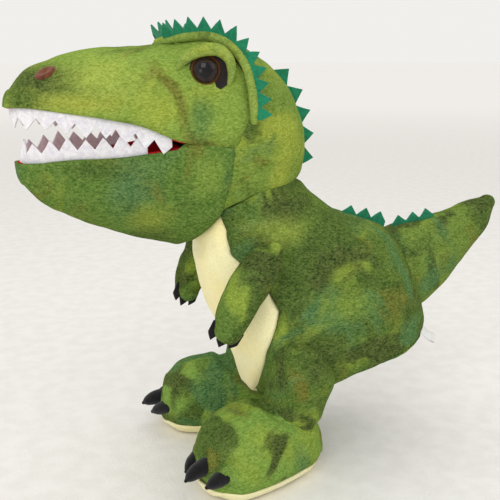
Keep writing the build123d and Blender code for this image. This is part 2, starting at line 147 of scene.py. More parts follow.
def distance_to(points, line):
    """Distance from each point to a polyline, by closely spaced samples of it."""
    line = np.asarray(line, float)
    knots = lengths_along(line)
    count = max(3, int(knots[-1] / 1.2))
    samples = np.stack([np.interp(np.linspace(0, knots[-1], count), knots, line[:, k]) for k in range(3)], 1)
    best = np.full(len(points), 1e9)
    for block in range(0, len(samples), 64):
        gap = points[:, None, :] - samples[None, block:block + 64, :]
        best = np.minimum(best, np.sqrt((gap ** 2).sum(axis=2)).min(axis=1))
    return best


def both(line):
    """A line and its mirror image on the other side."""
    line = np.asarray(line, float)
    return [line, line * (1, -1, 1)]


def folds(*creases):
    """Creases (line, depth, width) on the left side, and the same on the right."""
    return [(line, deep, wide) for path, deep, wide in creases for line in both(path)]


# ---------------------------------------------------------------- meshes
def per_vertex(mesh, what):
    found = np.zeros(len(mesh.vertices) * 3)
    mesh.vertices.foreach_get(what, found)
    return found.reshape(-1, 3)


def grid_faces(rows, columns, wrap):
    i, j = np.meshgrid(np.arange(rows - 1), np.arange(columns if wrap else columns - 1), indexing="ij")
    a, b = i * columns + j, i * columns + (j + 1) % columns
    return np.stack([a, b, b + columns, a + columns], axis=-1).reshape(-1, 4)


def mesh_object(name, points, faces, weld=0.00004):
    mesh = bpy.data.meshes.new(name)
    mesh.from_pydata([tuple(p) for p in points], [], [tuple(f) for f in faces])
    build = bmesh.new()
    build.from_mesh(mesh)
    bmesh.ops.remove_doubles(build, verts=build.verts, dist=weld)
    bmesh.ops.dissolve_degenerate(build, edges=build.edges, dist=1e-6)
    bmesh.ops.recalc_face_normals(build, faces=build.faces)
    middle = sum((v.co for v in build.verts), Vector()) / len(build.verts)
    facing = sum((f.calc_center_median() - middle).dot(f.normal) * f.calc_area() for f in build.faces)
    if facing < 0:
        bmesh.ops.reverse_faces(build, faces=build.faces)
    build.to_mesh(mesh)
    build.free()
    mesh.shade_smooth()
    made = bpy.data.objects.new(name, mesh)
    bpy.context.scene.collection.objects.link(made)
    return made


def applied(obj):
    """Turns the object's modifiers into its mesh."""
    bpy.context.view_layer.update()
    seen = obj.evaluated_get(bpy.context.evaluated_depsgraph_get())
    mesh = bpy.data.meshes.new_from_object(seen)
    obj.modifiers.clear()
    obj.data = mesh
    return obj


def thickened(obj, amount):
    modifier = obj.modifiers.new("cloth", "SOLIDIFY")
    modifier.thickness = amount / 1000
    modifier.offset = -1
    modifier.use_even_offset = False
    return applied(obj)


def dressed(obj, material, seams=(), lump=1.0, seed=1, depth=1.3, creases=(), thickness=CLOTH):
    """Gives a plush mesh its lumps, its sewn lines and its creases, then its thickness and finish."""
    mesh = obj.data
    points, normals = per_vertex(mesh, "co"), per_vertex(mesh, "normal")
    mm = points * 1000 + (MIDDLE_X, 0, 0)
    out = lump * (0.8 * waves(mm, 34, seed) + 0.35 * waves(mm, 15, seed + 50))
    out = out + 0.16 * waves(mm, 5, seed + 90)
    for line in seams:
        gap = distance_to(mm, line)
        out += 0.9 * np.exp(-((gap - 7) / 4.5) ** 2) - depth * np.exp(-(gap / SEAM_WIDTH) ** 2)
    for line, deep, wide in creases:
        gap = distance_to(mm, line)
        out += 0.35 * deep * np.exp(-((gap - 1.9 * wide) / wide) ** 2) - deep * np.exp(-(gap / wide) ** 2)
    mesh.vertices.foreach_set("co", (points + normals * out[:, None] / 1000).ravel())
    mesh.update()
    if thickness:
        thickened(obj, thickness)
    obj.data.materials.clear()
    obj.data.materials.append(material)
    return obj


def plush(name, grid, material, wrap=True, **finish):
    rows, columns = grid.shape[:2]
    made = mesh_object(name, metres(grid).reshape(-1, 3), grid_faces(rows, columns, wrap))
    return dressed(made, material, **finish)


def sausage(points, radii, count=14, flat=1.0, across=None, ends=5):
    """A grid round a smooth path with rounded ends."""
    path = smooth(np.column_stack([points, radii]), PATH_ROWS, 3)
    line, size = path[:, :3], path[:, 3]
    tangent = np.gradient(line, axis=0)
    tangent /= np.linalg.norm(tangent, axis=1)[:, None]
    guide = np.array([0, 1, 0.01]) if across is None else np.asarray(across, float)
    side = guide - (tangent @ guide)[:, None] * tangent
    side /= np.linalg.norm(side, axis=1)[:, None]
    up = np.cross(tangent, side)

    def cap(at, sign):
        return [(line[at] + sign * tangent[at] * size[at] * np.sin(phi), side[at], up[at],
                 size[at] * np.cos(phi)) for phi in quarter_turn(ends)]

    rows = cap(0, -1)[::-1] + list(zip(line, side, up, size)) + cap(-1, 1)
    turns = full_turns(count)[0]
    return np.array([[p + (s * flat * np.cos(t) + u * np.sin(t)) * r for t in turns] for p, s, u, r in rows])


def finished(made, body, slot, *nodes, fill=None):
    """Attaches the piece to what it rides on and hides the CAD nodes it stands for. The slot and the fill are
    not used.
    """
    if body:
        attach(made, body)
    if nodes:
        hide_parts(*nodes)


def blended(made, start, end):
    tuple(metres(start))
    tuple(metres(end))
    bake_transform(made)


# ---------------------------------------------------------------- materials
def linear(colour):
    return [*[((c / 255 + 0.055) / 1.055) ** 2.4 if c > 10 else c / 255 / 12.92 for c in colour], 1]


class Surface:
    """A node material under construction."""

    def __init__(self, name, **settings):
        self.material = bpy.data.materials.new(name)
        self.material.use_nodes = True
        self.nodes, self.links = self.material.node_tree.nodes, self.material.node_tree.links
        self.shader = self.nodes["Principled BSDF"]
        for socket, value in settings.items():
            self.shader.inputs[socket.replace("_", " ")].default_value = value
        self.place = self.nodes.new("ShaderNodeTexCoord").outputs["Object"]

    def noise(self, scale, detail=2.0, stretch=None, offset=(0, 0, 0), rough=0.5, warp=0.0):
        mapping = self.nodes.new("ShaderNodeMapping")
        mapping.inputs["Location"].default_value = offset
        mapping.inputs["Scale"].default_value = stretch or (1, 1, 1)
        self.links.new(self.place, mapping.inputs["Vector"])
        node = self.nodes.new("ShaderNodeTexNoise")
        self.links.new(mapping.outputs["Vector"], node.inputs["Vector"])
        node.inputs["Scale"].default_value = scale
        node.inputs["Detail"].default_value = detail
        node.inputs["Roughness"].default_value = rough
        node.inputs["Distortion"].default_value = warp
        return node.outputs["Fac"]

    def step(self, value, low, high):
        node = self.nodes.new("ShaderNodeMapRange")
        node.interpolation_type = "SMOOTHSTEP"
        node.inputs["From Min"].default_value = low
        node.inputs["From Max"].default_value = high
        self.links.new(value, node.inputs["Value"])
        return node.outputs["Result"]

    def blob(self, centre, size):
        """1 inside a soft oval in the model's millimetres, 0 outside it."""
        vector = self.place
        for kind, value in (("SUBTRACT", metres(centre)), ("DIVIDE", np.asarray(size) / 1000)):
            node = self.nodes.new("ShaderNodeVectorMath")
            node.operation = kind
            node.inputs[1].default_value = tuple(value)
            self.links.new(vector, node.inputs[0])
            vector = node.outputs[0]
        node = self.nodes.new("ShaderNodeVectorMath")
        node.operation = "LENGTH"
        self.links.new(vector, node.inputs[0])
        ragged = self.calc("MULTIPLY", self.noise(55, 4), 1.0)
        field = self.calc("SUBTRACT", self.calc("ADD", node.outputs["Value"], ragged), 0.5)
        return self.calc("SUBTRACT", 1.0, self.step(field, 0.2, 1.5))

    def feed(self, node, *pairs):
        """Sets inputs by number, from another node's output or from a plain value."""
        for index, value in pairs:
            if hasattr(value, "is_output"):
                self.links.new(value, node.inputs[index])
            else:
                node.inputs[index].default_value = value

    def mix(self, factor, a, b, kind="MIX"):
        node = self.nodes.new("ShaderNodeMix")
        node.data_type, node.blend_type = "RGBA", kind
        self.feed(node, (0, factor), (6, a), (7, b))
        return node.outputs[2]

    def calc(self, kind, a, b):
        node = self.nodes.new("ShaderNodeMath")
        node.operation = kind
        self.feed(node, (0, a), (1, b))
        return node.outputs[0]

    def paint(self, colour):
        self.links.new(colour, self.shader.inputs["Base Color"])

    def bump(self, height, distance, strength):
        node = self.nodes.new("ShaderNodeBump")
        node.inputs["Distance"].default_value = distance
        node.inputs["Strength"].default_value = strength
        self.links.new(height, node.inputs["Height"])
        self.links.new(node.outputs["Normal"], self.shader.inputs["Normal"])


def fibres(surface, colour, contrast, distance):
    """Short pile that lies along the cloth: streaks of light and dark with a bump to match."""
    streak = surface.noise(1000, 3, (1 / PILE_STRETCH, 1, 1), rough=0.65, warp=0.6)
    tuft = surface.noise(380, 2, (0.7, 1, 1), (0.3, 0.1, 0.2), warp=1.2)
    both_noises = surface.calc("ADD", surface.calc("MULTIPLY", streak, 0.65),
                               surface.calc("MULTIPLY", tuft, 0.35))
    shade = surface.step(both_noises, 0.3, 0.7)
    dark = surface.mix(contrast, colour, (0.36, 0.42, 0.30, 1), "MULTIPLY")
    light = surface.mix(contrast * 0.55, colour, (0.40, 0.46, 0.12, 1), "SCREEN")
    surface.paint(surface.mix(shade, dark, light))
    surface.bump(both_noises, distance, 0.9)


def mottled(name, base, patches, seed, blobs=()):
    """Plush printed in soft patches. Each patch is (colour, scale, low, high)."""
    surface = Surface(name, Roughness=0.95, Sheen_Weight=0.10, Sheen_Roughness=0.5, Specular_IOR_Level=0.05)
    surface.shader.inputs["Sheen Tint"].default_value = linear((170, 205, 70))
    colour = linear(base)
    for k, (tint, scale, low, high) in enumerate(patches):
        field = surface.noise(scale, 3.0, None, (seed + 1.7 * k, 2.3 * k, seed * 0.7 - k), warp=0.8)
        colour = surface.mix(surface.step(field, low, high), colour, linear(tint))
    for tint, centre, size in blobs:
        colour = surface.mix(surface.blob(centre, size), colour, linear(tint))
    fibres(surface, colour, PILE_CONTRAST, PILE_DEPTH)
    return surface.material


def plain_plush(name, colour, shadow):
    surface = Surface(name, Roughness=0.92, Sheen_Weight=0.3, Sheen_Roughness=0.5, Specular_IOR_Level=0.12)
    cloud = surface.step(surface.noise(28, 3), 0.35, 0.7)
    fibres(surface, surface.mix(cloud, linear(colour), linear(shadow)), 0.22, 0.0007)
    return surface.material


def felt(name, colour, shadow, contrast=0.25, glow=0.0):
    """Stiff felt: matted short fibres without direction."""
    surface = Surface(name, Roughness=0.95, Sheen_Weight=0.2, Sheen_Roughness=0.6, Specular_IOR_Level=0.1,
                      Subsurface_Weight=glow, Subsurface_Scale=0.004, Subsurface_Radius=(1, 0.9, 0.9))
    cloud = surface.step(surface.noise(160, 4, warp=1.5), 0.35, 0.68)
    matted = surface.noise(900, 3, None, (0.4, 0.2, 0.1), warp=1.0)
    colour = surface.mix(cloud, linear(colour), linear(shadow))
    shade = surface.step(matted, 0.35, 0.6)
    dark = surface.mix(contrast, colour, (0.3, 0.3, 0.3, 1), "MULTIPLY")
    surface.paint(surface.mix(shade, dark, colour))
    surface.bump(matted, 0.0005, 0.8)
    return surface.material


def woven(name, colour, shadow, pitch=1700, roughness=0.85):
    """Thin knitted lining: fine crossing ribs."""
    surface = Surface(name, Roughness=roughness, Specular_IOR_Level=0.08)
    rib = surface.noise(pitch, 1, (0.25, 1, 1))
    weft = surface.noise(pitch, 1, (1, 1, 0.25), (0.5, 0, 0))
    cloth = surface.calc("MULTIPLY", rib, weft)
    cloud = surface.step(surface.noise(45, 3), 0.35, 0.7)
    tone = surface.mix(cloud, linear(colour), linear(shadow))
    shade = surface.step(cloth, 0.08, 0.28)
    dark = surface.mix(0.35, tone, (0.35, 0.3, 0.3, 1), "MULTIPLY")
    surface.paint(surface.mix(shade, dark, tone))
    surface.bump(cloth, 0.0004, 0.7)
    return surface.material


def glass_eye():
    """Dark brown plastic with a black pupil: the colour follows the distance from the eye's axis."""
    surface = Surface("eye_plastic", Roughness=0.1, Coat_Weight=0.12, Coat_Roughness=0.03,
                      Specular_IOR_Level=0.22)
    split = surface.nodes.new("ShaderNodeSeparateXYZ")
    surface.links.new(surface.place, split.inputs[0])
    square = [surface.calc("MULTIPLY", split.outputs[k], split.outputs[k]) for k in (0, 1)]
    radius = surface.calc("SQRT", surface.calc("ADD", *square), 0.0)
    cloud = surface.step(surface.noise(420, 3), 0.3, 0.7)
    iris = surface.mix(cloud, linear((26, 18, 16)), linear((46, 30, 24)))
    colour = surface.mix(surface.step(radius, 0.0044, 0.0052), linear((6, 6, 9)), iris)
    colour = surface.mix(surface.step(radius, 0.0082, 0.0090), colour, linear((96, 56, 34)))
    surface.paint(colour)
    return surface.material


def plastic(name, colour):
    surface = Surface(name, Roughness=0.4, Specular_IOR_Level=0.4)
    cloud = surface.step(surface.noise(300, 3), 0.4, 0.6)
    surface.paint(surface.mix(cloud, linear(colour), linear([c * 0.85 for c in colour])))
    surface.bump(surface.noise(1500, 2), 0.0001, 0.4)
    return surface.material


DARK, DEEP, LIME, OLIVE, TEAL = (34, 74, 28), (18, 50, 24), (158, 172, 62), (98, 98, 34), (48, 104, 74)
# colour, scale and the two levels between which a patch fades in
FACE_PATCHES = [(LIME, 13, 0.46, 0.64), (OLIVE, 22, 0.58, 0.72), (DARK, 15, 0.58, 0.72),
                (TEAL, 18, 0.62, 0.76)]
BODY_PATCHES = [((132, 156, 56), 17, 0.50, 0.64), (DARK, 16, 0.47, 0.57), (OLIVE, 24, 0.56, 0.70),
                (DEEP, 20, 0.52, 0.60), ((44, 104, 66), 19, 0.54, 0.68)]
JAW_PATCHES = [(TEAL, 15, 0.52, 0.68), (OLIVE, 17, 0.54, 0.68), (DARK, 16, 0.54, 0.66),
               (LIME, 20, 0.60, 0.74)]
# colour, centre and half size of the single patches
FACE_BLOBS = [(DEEP, (-138, 0, 294), (40, 90, 11)), (DARK, (-160, 0, 281), (16, 90, 9)),
              ((158, 178, 74), (-112, 0, 296), (26, 90, 15)), ((156, 164, 62), (-128, 0, 280), (28, 90, 7)),
              ((70, 116, 60), (-52, 0, 268), (10, 90, 16))]
JAW_BLOBS = [((54, 106, 68), (-96, 0, 226), (17, 90, 26)), ((124, 142, 52), (-84, 0, 202), (15, 90, 11)),
             (DARK, (-122, 0, 236), (22, 90, 8)), ((120, 150, 60), (-46, 0, 232), (12, 90, 16))]
BODY_BLOBS = [((136, 156, 62), (4, 0, 190), (24, 90, 13)), (DEEP, (20, 0, 206), (18, 90, 10)),
              ((112, 140, 50), (60, 0, 132), (24, 90, 16)), (DEEP, (36, 0, 96), (26, 90, 18))]
M = {
    "face": mottled("plush_face", (124, 156, 62), FACE_PATCHES, 2.0, FACE_BLOBS),
    "jaw": mottled("plush_jaw", (68, 110, 42), JAW_PATCHES, 5.0, JAW_BLOBS),
    "crown": mottled("plush_crown", (108, 140, 54), FACE_PATCHES, 8.0),
    "body": mottled("plush_body", (58, 94, 34), BODY_PATCHES, 11.0, BODY_BLOBS),
    "tail": mottled("plush_tail", (92, 122, 48), BODY_PATCHES, 12.5),
    "limbs": mottled("plush_limbs", (66, 106, 40), BODY_PATCHES, 15.0),
    "feet": mottled("plush_feet", (112, 152, 64), BODY_PATCHES, 17.0),
    "pale": mottled("plush_pale", (132, 158, 72), [(LIME, 20, 0.5, 0.7), (DARK, 26, 0.62, 0.78)], 19.0),
    "belly": plain_plush("plush_cream", (255, 247, 196), (252, 238, 176)),
    "teal": felt("felt_teal", (22, 132, 92), (14, 112, 78), 0.2),
    "white": felt("felt_white", (238, 236, 240), (220, 217, 226), 0.12, 0.7),
    "black": felt("felt_black", (16, 16, 20), (8, 8, 11), 0.2),
    "brown": felt("felt_brown", (118, 66, 38), (92, 46, 28)),
    "patch": felt("felt_dark", (38, 30, 28), (24, 20, 20)),
    "red": woven("lining_red", (226, 26, 44), (190, 16, 34)),
    "inner": woven("lining_inner", (96, 132, 74), (78, 112, 60)),
    "label": woven("satin_white", (244, 244, 242), (232, 232, 232), 2400, 0.45),
    "thread": woven("thread_green", (52, 84, 34), (40, 70, 28)),
    "eye": glass_eye(),
    "washer": plastic("washer_white", (226, 226, 220)),
}


# ---------------------------------------------------------------- head
def table_at(rows, x):
    """Section numbers at positions x, from a smooth table of rows that begin with x."""
    fine = smooth(rows, TABLE_ROWS, 1)
    return np.stack([np.interp(x, fine[:, 0], fine[:, k]) for k in range(1, fine.shape[1])], axis=-1)


# x, z, height, half width and squareness of the sections
FACE = [(-168.5, 277, 11.5, 11, 2.0), (-161, 277, 20.5, 17.5, 2.05), (-142, 274.5, 32.5, 28, 2.2),
        (-112, 270, 44.5, 38, 2.4), (-91, 265.5, 50, 42, 2.7), (-64, 254.5, 63, 46.5, 3.2),
        (-44, 251.5, 71, 49, 3.6), (-8, 250, 69, 52, 3.8)]
JAW = [(-163.5, 240.3, 15.5, 10.5, 2.0), (-157, 240.7, 24, 16, 2.1), (-138, 243, 39.5, 25, 2.2),
       (-104, 244.5, 55, 35, 2.2), (-76, 248, 67, 41.5, 2.2), (-60, 250.5, 73, 45, 2.2),
       (-44, 250.8, 75, 47.5, 2.2), (-20, 251, 75, 49, 2.2)]
UPPER, LOWER = (FACE, BROW_Z, BROW_X, 1), (JAW, JAW_BACK_Z, JAW_BACK_X, -1)


def muzzle(rows, edge_z, edge_x, side, count, columns):
    """Half loops from the tip back to a seam: side +1 is the upper half and -1 the lower one."""
    turns = np.pi * np.linspace(0, 1, columns)
    c, s = np.cos(turns), np.sin(turns) * side

    def at(x):
        z, reach, half, power = np.moveaxis(table_at(rows, x), -1, 0)
        return half * power_of(c, power), z + reach * power_of(s, power)

    ends = np.full(columns, -22.0)
    for _ in range(40):
        ends = 0.5 * ends + 0.5 * np.interp(at(ends)[1], edge_z, edge_x)
    grid = []
    for u in np.linspace(0, 1, count):
        x = rows[0][0] + (ends - rows[0][0]) * u
        y, z = at(x)
        grid.append(np.stack([x, y, z], axis=-1))
    return np.array(grid)


def side_edge():
    """The left edge of the face and the jaw where the crown is sewn on, by height."""
    face = muzzle(*UPPER, 3, 92)[-1]
    jaw = muzzle(*LOWER, 3, 88)[-1]
    line = np.array([p for p in [*jaw, *face] if p[1] < -20 and p[2] < 308])
    return line[np.argsort(line[:, 2])]


def face_piece():
    grid = muzzle(*UPPER, 78, 92)
    grid = rounded(grid, TIP_BULGE, (FACE[0][0], 0, FACE[0][1]), start=True)
    cheek = [(-62, -46.6, 251), (-44, -49, 251.5), (-24, -51, 250)]
    ridge = grid[:, grid.shape[1] // 2]
    lid = [(-78, -44, 290), (-66, -44.5, 302), (-60, -45, 311), (-44, -44, 317)]
    under_eye = [(-70, -45, 281), (-52, -48, 276), (-36, -50, 280)]
    made = plush("face_plush", grid, M["face"], False, seed=3, lump=0.9,
                 seams=[ridge, grid[-1], *both(cheek)],
                 creases=folds((lid, 1.6, 4), (under_eye, 1.0, 6)))
    finished(made, "head", "plush_green", "left_face_panel", "right_face_panel", "head_filling", fill=0.8)


def jaw_piece():
    grid = muzzle(*LOWER, 74, 88)
    grid = rounded(grid, TIP_BULGE, (JAW[0][0], 0, JAW[0][1]), start=True)
    throat = np.array([-38, 0, 214.0])
    inner = [throat + (grid[-1] - throat) * k for k in (0.93, 0.8, 0.6, 0.35, 0.1)]
    outer_back = grid[-1].copy()
    grid = np.concatenate([grid, np.array(inner)])
    tuck = np.clip((grid[:, :1, 0] + 66) / 10, 0, 1)[..., None]
    rim = []
    for k in (3, 2, 1):
        row = np.stack([grid[:, edge] for edge in (0, -1)], axis=1)
        shift = np.array([[(0, -0.9 * k - 1.2, 2.4 * k), (0, 0.9 * k + 1.2, 2.4 * k)]])
        rim.append(row + shift * tuck)
    grid = np.concatenate([*[r[:, :1] for r in rim], grid, *[r[:, 1:] for r in rim[::-1]]], axis=1)
    middle = grid[:74, grid.shape[1] // 2]
    made = plush("jaw_plush", grid, M["jaw"], False, seed=9, lump=0.9, seams=[outer_back, middle],
                 creases=folds(([(-56, -44, 238), (-44, -46, 222), (-42, -42, 208)], 1.2, 6)))
    blended(made, (-34, 0, 236), (-64, 0, 248))
    finished(made, None, "plush_green", "left_jaw_panel", "right_jaw_panel", "jaw_filling", fill=0.8)


# x, z of the middle line, then x, y, z of the edge that meets the face and the jaw
CROWN = [(-70, 317, -68, -10, 317), (-52, 321, -53, -25, 320), (-35, 322.5, -41, -34, 318),
         (-18, 318.5, -32, -40, 314.5), (0, 309, -25, -45, 309), (15, 299, -20, -49, 301),
         (26, 286.5, -18, -51.5, 290), (33.5, 271, -18, -52.5, 277), (38.5, 254, -20, -52.5, 264),
         (39, 238, -24.5, -51, 248), (37, 229, -30, -47.5, 228), (33.5, 220.5, -34, -42.5, 203)]


def crown_piece():
    rows, edge = smooth(CROWN, 84), side_edge()
    held = np.clip((305 - rows[:, 4]) / 8, 0, 1)
    rows[:, 2] += held * (np.interp(rows[:, 4], edge[:, 2], edge[:, 0]) - 5 - rows[:, 2])
    rows[:, 3] += held * (np.interp(rows[:, 4], edge[:, 2], edge[:, 1]) + 1.6 - rows[:, 3])
    turns = np.linspace(-np.pi / 2, np.pi / 2, 92)
    grow = (1 - np.abs(np.cos(turns)) ** (2 / 2.35))[None, :, None]
    side = power_of(np.sin(turns), 2.35)[None, :]
    middle = np.stack([rows[:, 0], 0 * rows[:, 0], rows[:, 1]], axis=-1)[:, None]
    rim = np.stack([rows[:, 2], 0 * rows[:, 0], rows[:, 4]], axis=-1)[:, None]
    grid = middle + (rim - middle) * grow
    grid[:, :, 1] = rows[:, 3:4] * side
    back = grid[:, grid.shape[1] // 2]
    fold = [(-14, -50, 236), (2, -45, 230), (20, -34, 229)]
    made = plush("crown_plush", grid, M["crown"], False, seed=13, lump=1.0,
                 seams=[grid[-1], grid[:, 0], grid[:, -1], back],
                 creases=folds((fold, 1.5, 5)))
    seam = np.array([-6, 0, 202])
    blended(made, seam + NECK_UP * 2, seam + NECK_UP * 30)
    finished(made, None, "plush_green", "left_crown_panel", "right_crown_panel", "neck_skin", fill=0.6)


# ---------------------------------------------------------------- body
BODY = [(-6.2, 202.2, 25, 42.5, 42.5, 45, 2.3), (10, 178, 19.5, 56, 55.5, 48, 2.3),
        (38, 151, 17, 80, 76.5, 53, 2.3), (58, 115, 17, 83.5, 78.5, 60.5, 2.3), (70, 79, 17, 81, 77, 56, 2.3)]


def body_loops():
    """Rows of the body: their sections, and how far from the front the belly seam is."""
    rows = smooth(BODY, 74)
    sides = []
    probe = np.linspace(0.02, np.pi * 0.75, 260)
    points = loop_points(rows, probe[None, :] - np.pi / 2)
    for row in points:
        ahead = row[:, 0] - np.interp(row[:, 2], BELLY_Z, BELLY_X)
        sides.append(np.interp(0, ahead, probe))
    return rows, np.array(sides)[:, None]


def collar(grid):
    """Two rows above the neck seam, tucked inside the crown."""
    top = [NECK_SEAM + (grid[0] - NECK_SEAM) * share + NECK_UP * rise
           for share, rise in ((0.93, 14), (0.95, 5))]
    return np.concatenate([np.array(top), grid])


def body_piece():
    rows, seam = body_loops()
    u = np.linspace(0, 1, 112)[None, :]
    grid = loop_points(rows, -np.pi / 2 + seam + (2 * np.pi - 2 * seam) * u)
    base = base_rows(rows[-1:], -np.pi / 2 + seam[-1:] + (2 * np.pi - 2 * seam[-1:]) * u)
    whole = collar(np.concatenate([grid, base]))
    centre_back = whole[:, 56]
    shoulder = [(-30, -46, 196), (-16, -50, 182), (2, -53, 176), (14, -54, 186), (10, -50, 202)]
    hip = [(10, -58, 112), (30, -61, 104), (56, -62, 106)]
    flank = [(0, -50, 150), (22, -56, 146), (44, -58, 152)]
    made = plush("body_plush", whole, M["body"], False, seed=21, lump=1.5,
                 seams=[whole[:, 0], whole[:, -1], whole[2], centre_back],
                 creases=folds((shoulder, 1.8, 6), (hip, 1.6, 8), (flank, 1.3, 7)))
    blended(made, (2.5, 0, 184), (-6, 0, 202))
    finished(made, None, "plush_green", "left_body_panel", "right_body_panel", "torso_filling", fill=0.7)
    v = np.linspace(-1, 1, 46)[None, :]
    grid = loop_points(rows, -np.pi / 2 + seam * v)
    base = base_rows(rows[-1:], -np.pi / 2 + seam[-1:] * v)
    whole = collar(np.concatenate([grid, base]))
    made = plush("belly_plush", whole, M["belly"], False, seed=27, lump=0.9,
                 seams=[whole[:, 0], whole[:, -1]],
                 creases=[([(-44, -22, 176), (-44, 0, 170), (-44, 22, 176)], 1.6, 6)])
    blended(made, (2.5, 0, 184), (-6, 0, 202))
    finished(made, None, "plush_cream", "belly_panel", fill=0.7)


def base_rows(section, turns):
    """The underside: round the body's lower edge and in to the hand opening."""
    edge = loop_points(section, turns)[0]
    down = -CUFF_UP
    middle = np.array([70, 0, 79.0])
    way = np.cos(turns[0])[:, None] * SIDEWAYS + np.sin(turns[0])[:, None] * CUFF_BACK
    ring = OPENING + way * 41.5
    rows = [middle + (edge - middle) * 0.985 + down * 3, middle + (edge - middle) * 0.94 + down * 5.2]
    start = rows[-1]
    for k in (0.2, 0.4, 0.6, 0.8, 1.0):
        rows.append(start + (ring - start) * k + down * 1.2 * np.sin(np.pi * k))
    return np.array(rows)


SLEEVE = [(x, z, angle, size, size, size, 2) for x, z, angle, size in (
    (107, 81, 17, 39.2), (89, 110, 34, 38.6), (41, 156, 42, 37.6), (-5.4, 202.9, 25, 36.8),
    (-9, 212, 25, 36.4))]


def sleeve_pieces():
    grid = loop_points(smooth(SLEEVE, 60), full_turns(72))
    made = plush("sleeve_lining", grid, M["inner"], True, seed=31, lump=0.35, thickness=0.8)
    finished(made, "torso", "inner_lining", "hand_sleeve")
    profile = [(39.7, -0.5), (40.3, 0.2), (42.0, 0.0), (42.8, -1.5), (43.0, -5.0), (42.6, -8.2), (41.4, -9.6),
               (40.2, -8.8), (39.6, -5.0)]
    stitch_radius, stitch_drop = 43.0, 6.6
    ring = []
    for t in full_turns(120)[0]:
        way = CUFF_BACK * np.cos(t) + SIDEWAYS * np.sin(t)
        ripple = 0.18 * np.sin(t * 23) + 0.12 * np.sin(t * 9 + 1)
        ring.append([OPENING + way * (r + ripple - 0.5 * np.exp(-((h + stitch_drop) / 0.8) ** 2))
                     + CUFF_UP * h for r, h in profile])
    grid = np.array(ring)
    grid = np.concatenate([grid, grid[:1]])
    made = plush("cuff_hem", grid, M["limbs"], True, seed=33, lump=0.15, thickness=0)
    finished(made, "torso", "plush_green", "cuff")
    stitches = []
    for t in np.linspace(0, 2 * np.pi, 74, endpoint=False):
        spots = [OPENING + (CUFF_BACK * np.cos(a) + SIDEWAYS * np.sin(a)) * stitch_radius
                 - CUFF_UP * stitch_drop for a in (t, t + 0.022, t + 0.044)]
        stitches.append(sausage(spots, [0.28, 0.42, 0.28], 6, ends=2))
    finished(many_grids("cuff_stitches", stitches, M["thread"]), "torso", "plush_green")
    pockets = {
        "finger_lining": ("finger_pocket", "head", [
            (-138, 285, 7, 22), (-110, 285, 12.5, 34), (-76, 284, 14, 37), (-14, 280, 18, 41)]),
        "thumb_lining": ("thumb_pocket", "jaw", [
            (-132, 222, 5, 9), (-125, 222, 9, 14), (-105, 221, 12, 18), (-80, 220, 14, 21),
            (-56, 219, 15, 23)]),
    }
    for name, (node, body, table) in pockets.items():
        rows = smooth([(x, z, 90, h - 0.5, h - 0.5, w - 0.5, 2.4) for x, z, h, w in table], 40)
        grid = rounded(loop_points(rows, full_turns(48)), 3, start=True)
        made = plush(name, grid, M["inner"], True, seed=35, lump=0.4, thickness=0.8)
        finished(made, body, "inner_lining", node)


def many_grids(name, grids, material, lump=0.0):
    """One piece made of several closed grids."""
    points, faces, offset = [], [], 0
    for grid in grids:
        rows, columns = grid.shape[:2]
        points.append(metres(grid).reshape(-1, 3))
        faces.append(grid_faces(rows, columns, True) + offset)
        offset += rows * columns
    made = mesh_object(name, np.concatenate(points), np.concatenate(faces), 0.00002)
    return dressed(made, material, lump=lump, thickness=0)


# ---------------------------------------------------------------- tail, arms, legs
TAIL = [(126, 137, 111.5, 36, 36, 30, 2), (137, 141, 111, 36, 36, 29, 2), (160, 151, 110, 29, 29, 25, 2),
        (185, 166, 119, 20, 20, 18, 2), (208, 183, 125, 11, 11, 10.5, 2), (215, 189, 128, 6, 6, 6, 2)]


def tail_piece():
    grid = loop_points(smooth(TAIL, 62), full_turns(64))
    top, bottom = grid[:, 16], grid[:, 48]
    grid = rounded(grid, 5)
    made = plush("tail_plush", grid, M["tail"], True, seed=41, lump=1.0, seams=[top, bottom],
                 creases=[([(150, -24, 160), (158, -26, 148), (160, -20, 132)], 1.0, 4)])
    blended(made, (140, 0, 142), (168, 0, 155))
    finished(made, None, "plush_green", "tail_skin", "tail_filling", fill=0.9)


ARM_WAY = unit(np.array([-0.454, 0.143, -0.879]))
ARM_OUT = unit(np.array([-0.30, -0.954, 0]))
ARM_TOP = np.array([-8, -46, 168]) + ARM_OUT * 14.6
ARM_SIZES = [(-13, 6), (-9, 10.5), (2, 13), (14, 13.6), (30, 13.2), (44, 12.4), (51, 10.5)]


def sided(grid, side):
    return grid if side == "left" else grid * (1, -1, 1)


def arm_pieces():
    across = np.cross(ARM_WAY, ARM_OUT)
    path = [ARM_TOP + ARM_WAY * s + across * 2.5 * np.sin(s / 16) for s, _ in ARM_SIZES]
    grid = sausage(path, [r for _, r in ARM_SIZES], 40, 0.9, ARM_OUT)
    palm = ARM_TOP + ARM_WAY * 52
    for side in SIDES:
        seam = sided(grid[5:, 10], side)
        elbow = sided(np.array([ARM_TOP + ARM_WAY * s + across * a + ARM_OUT * b
                                        for s, a, b in ((22, 15, 6), (26, 0, 13), (24, -12, 6))]), side)
        made = plush(f"{side}_arm_plush", sided(grid, side), M["limbs"], True, seed=51, lump=0.9,
                     seams=[seam], creases=[(elbow, 0.9, 4)], thickness=0)
        finished(made, f"{side}_arm", "plush_green", f"{side}_arm_skin", f"{side}_arm_filling", fill=0.9)
        claws = []
        for s in (-8.2, 0, 8.2):
            foot = palm + across * s - ARM_WAY * (0.035 * s * s)
            claws.append(blade(foot, across, ARM_WAY, 7.6, 9.5, 14.5, 1.4 * np.sign(-s)))
        made = felt_piece(f"{side}_claws_felt", [sided(np.array(c), side) for c in claws], M["black"])
        finished(made, f"{side}_arm", "felt_black", f"{side}_hand_claws")


